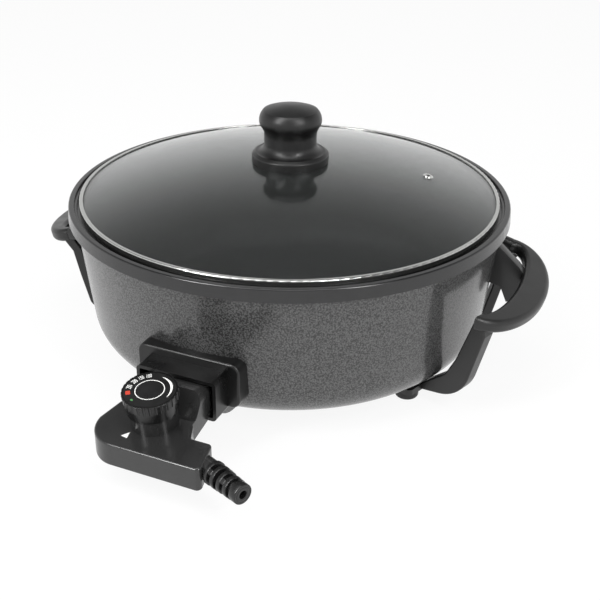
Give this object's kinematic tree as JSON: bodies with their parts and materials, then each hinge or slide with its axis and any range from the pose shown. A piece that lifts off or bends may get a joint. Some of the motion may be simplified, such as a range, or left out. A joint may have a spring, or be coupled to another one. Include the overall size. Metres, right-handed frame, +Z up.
{
  "type": "electric pizza maker",
  "caption": "Round electric pan on legs with a domed glass lid, side handles and a plug-in thermostat with a dial.",
  "frame": {"origin": "centre of the whole footprint, on the surface that the feet stand on", "axes": "+Z up, handles along X, thermostat towards -Y, the pan's axis vertical at y = 48.3 mm"},
  "size_m": [0.5084, 0.5175, 0.2407],
  "materials": {
    "pan_coating": "hammered non-stick coating",
    "rim_coating": "smooth satin coating",
    "element_steel": "sheathed tube",
    "pin_metal": "plated",
    "bead_ceramic": "plain",
    "screw_steel": "drawn tube",
    "black_moulding": "phenolic",
    "foot_rubber": "matte",
    "lid_glass": "tempered, tinted",
    "band_steel": "polished",
    "gloss_moulding": "glossy phenolic",
    "washer_silicone": "silicone",
    "contact_brass": "turned",
    "boot_rubber": "soft PVC",
    "dial_moulding": "printed"
  },
  "bodies": {
    "cooker": {"pan": "pan_coating", "rim_ring": "rim_coating", "heating_element": "element_steel", "terminal_pins": "pin_metal", "terminal_insulators": "bead_ceramic", "earth_pin": "pin_metal", "probe_socket": "screw_steel", "socket_guard": "black_moulding", "guard_screws": "screw_steel", "right_handle": "black_moulding", "left_handle": "black_moulding", "handle_screws": "screw_steel", "right_leg_foot": "foot_rubber", "right_strut_foot": "foot_rubber", "left_leg_foot": "foot_rubber", "left_strut_foot": "foot_rubber"},
    "lid": {"lid_glass": "lid_glass", "lid_band": "band_steel", "vent_grommet": "band_steel", "lid_knob": "gloss_moulding", "knob_washer": "washer_silicone", "knob_screw": "screw_steel"},
    "thermostat": {"thermostat_upper": "gloss_moulding", "thermostat_lower": "gloss_moulding", "housing_screws": "screw_steel", "contact_block": "black_moulding", "contact_sockets": "contact_brass", "earth_socket": "contact_brass", "probe_tube": "screw_steel", "switch_frame": "bead_ceramic", "switch_blades": "contact_brass", "cord_clamp": "black_moulding", "cord_boot": "boot_rubber"},
    "dial": {"dial_knob": "dial_moulding", "dial_plate": "dial_moulding", "dial_spindle": "contact_brass"}
  },
  "joints": [
    {"name": "lid_lift", "type": "slide", "parent": "cooker", "child": "lid", "axis": [0, 0, 1], "range_m": [0, 0.15]},
    {"name": "thermostat_pull", "type": "slide", "parent": "cooker", "child": "thermostat", "axis": [0, -1, 0], "range_m": [0, 0.12]},
    {"name": "dial_turn", "type": "hinge", "parent": "thermostat", "child": "dial", "pos_m": [0, -0.21171, 0.0502], "axis": [0, -0.1392, 0.9903], "range_deg": [-270, 0]}
  ]
}
